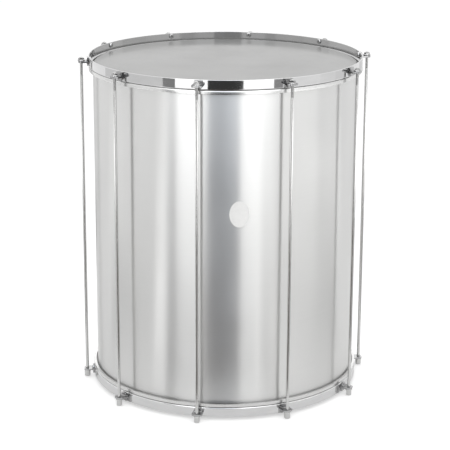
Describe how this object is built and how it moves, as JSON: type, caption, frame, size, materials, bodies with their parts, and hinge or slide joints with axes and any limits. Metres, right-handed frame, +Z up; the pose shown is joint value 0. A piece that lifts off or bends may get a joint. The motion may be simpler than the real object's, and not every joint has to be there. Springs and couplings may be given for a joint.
{
  "type": "surdo drum",
  "caption": "Deep cylindrical bass drum with a bare metal shell, a drumhead at each end, and counterhoops drawn together by through rods, lugs and nuts.",
  "frame": {"origin": "on the floor on the drum's axis, level with the ends of the rod heads that it stands on", "axes": "+Z up along the drum's axis from the lower head to the upper head, -Y towards the side that carries the badge, +X to its right seen from there"},
  "size_m": [0.561, 0.5564, 0.6457],
  "materials": {
    "shell_aluminium": "satin, finely brushed round the drum",
    "badge_enamel": "glossy white",
    "head_film": "smooth light grey film with a soft gloss",
    "flesh_hoop_aluminium": "bright, lightly brushed",
    "hoop_chrome": "mirror polished",
    "lug_chrome": "bright plated",
    "rod_chrome": "bright plated, threaded end",
    "nut_chrome": "bright plated"
  },
  "bodies": {
    "drum_shell": {"shell": "shell_aluminium", "badge": "badge_enamel"},
    "lower_end": {"bottom_hoop": "hoop_chrome", "bottom_flesh_hoop": "flesh_hoop_aluminium", "bottom_head": "head_film", "bottom_lug_01": "lug_chrome", "bottom_lug_02": "lug_chrome", "bottom_lug_03": "lug_chrome", "bottom_lug_04": "lug_chrome", "bottom_lug_05": "lug_chrome", "bottom_lug_06": "lug_chrome", "bottom_lug_07": "lug_chrome", "bottom_lug_08": "lug_chrome", "bottom_lug_09": "lug_chrome", "bottom_lug_10": "lug_chrome", "tension_rod_01": "rod_chrome", "tension_rod_02": "rod_chrome", "tension_rod_03": "rod_chrome", "tension_rod_04": "rod_chrome", "tension_rod_05": "rod_chrome", "tension_rod_06": "rod_chrome", "tension_rod_07": "rod_chrome", "tension_rod_08": "rod_chrome", "tension_rod_09": "rod_chrome", "tension_rod_10": "rod_chrome"},
    "upper_end": {"top_hoop": "hoop_chrome", "top_flesh_hoop": "flesh_hoop_aluminium", "top_head": "head_film", "top_lug_01": "lug_chrome", "top_lug_02": "lug_chrome", "top_lug_03": "lug_chrome", "top_lug_04": "lug_chrome", "top_lug_05": "lug_chrome", "top_lug_06": "lug_chrome", "top_lug_07": "lug_chrome", "top_lug_08": "lug_chrome", "top_lug_09": "lug_chrome", "top_lug_10": "lug_chrome"},
    "nut_01": {"tension_nut_01": "nut_chrome"},
    "nut_02": {"tension_nut_02": "nut_chrome"},
    "nut_03": {"tension_nut_03": "nut_chrome"},
    "nut_04": {"tension_nut_04": "nut_chrome"},
    "nut_05": {"tension_nut_05": "nut_chrome"},
    "nut_06": {"tension_nut_06": "nut_chrome"},
    "nut_07": {"tension_nut_07": "nut_chrome"},
    "nut_08": {"tension_nut_08": "nut_chrome"},
    "nut_09": {"tension_nut_09": "nut_chrome"},
    "nut_10": {"tension_nut_10": "nut_chrome"}
  },
  "joints": [
    {"name": "upper_end_lift", "type": "slide", "parent": "drum_shell", "child": "upper_end", "axis": [0, 0, 1], "range_m": [0, 0.0015]},
    {"name": "lower_end_drop", "type": "slide", "parent": "drum_shell", "child": "lower_end", "axis": [0, 0, -1], "range_m": [0, 0.0015]},
    {"name": "nut_01_turn", "type": "hinge", "parent": "upper_end", "child": "nut_01", "pos_m": [-0.05062, -0.27129, 0.6357], "axis": [0, 0, 1], "range_deg": [0, 1080.01]},
    {"name": "nut_02_turn", "type": "hinge", "parent": "upper_end", "child": "nut_02", "pos_m": [0.11851, -0.24923, 0.6357], "axis": [0, 0, 1], "range_deg": [0, 1080.01]},
    {"name": "nut_03_turn", "type": "hinge", "parent": "upper_end", "child": "nut_03", "pos_m": [0.24237, -0.13198, 0.6357], "axis": [0, 0, 1], "range_deg": [0, 1080.01]},
    {"name": "nut_04_turn", "type": "hinge", "parent": "upper_end", "child": "nut_04", "pos_m": [0.27366, 0.03569, 0.6357], "axis": [0, 0, 1], "range_deg": [0, 1080.01]},
    {"name": "nut_05_turn", "type": "hinge", "parent": "upper_end", "child": "nut_05", "pos_m": [0.20042, 0.18972, 0.6357], "axis": [0, 0, 1], "range_deg": [0, 1080.01]},
    {"name": "nut_06_turn", "type": "hinge", "parent": "upper_end", "child": "nut_06", "pos_m": [0.05062, 0.27129, 0.6357], "axis": [0, 0, 1], "range_deg": [0, 1080.01]},
    {"name": "nut_07_turn", "type": "hinge", "parent": "upper_end", "child": "nut_07", "pos_m": [-0.11851, 0.24923, 0.6357], "axis": [0, 0, 1], "range_deg": [0, 1080.01]},
    {"name": "nut_08_turn", "type": "hinge", "parent": "upper_end", "child": "nut_08", "pos_m": [-0.24237, 0.13198, 0.6357], "axis": [0, 0, 1], "range_deg": [0, 1080.01]},
    {"name": "nut_09_turn", "type": "hinge", "parent": "upper_end", "child": "nut_09", "pos_m": [-0.27366, -0.03569, 0.6357], "axis": [0, 0, 1], "range_deg": [0, 1080.01]},
    {"name": "nut_10_turn", "type": "hinge", "parent": "upper_end", "child": "nut_10", "pos_m": [-0.20042, -0.18972, 0.6357], "axis": [0, 0, 1], "range_deg": [0, 1080.01]}
  ],
  "couplings": [
    {"joint": "lower_end_drop", "follows": "upper_end_lift", "ratio": 1},
    {"joint": "nut_01_turn", "follows": "upper_end_lift", "rad_per_m": 12566},
    {"joint": "nut_02_turn", "follows": "upper_end_lift", "rad_per_m": 12566},
    {"joint": "nut_03_turn", "follows": "upper_end_lift", "rad_per_m": 12566},
    {"joint": "nut_04_turn", "follows": "upper_end_lift", "rad_per_m": 12566},
    {"joint": "nut_05_turn", "follows": "upper_end_lift", "rad_per_m": 12566},
    {"joint": "nut_06_turn", "follows": "upper_end_lift", "rad_per_m": 12566},
    {"joint": "nut_07_turn", "follows": "upper_end_lift", "rad_per_m": 12566},
    {"joint": "nut_08_turn", "follows": "upper_end_lift", "rad_per_m": 12566},
    {"joint": "nut_09_turn", "follows": "upper_end_lift", "rad_per_m": 12566},
    {"joint": "nut_10_turn", "follows": "upper_end_lift", "rad_per_m": 12566}
  ]
}
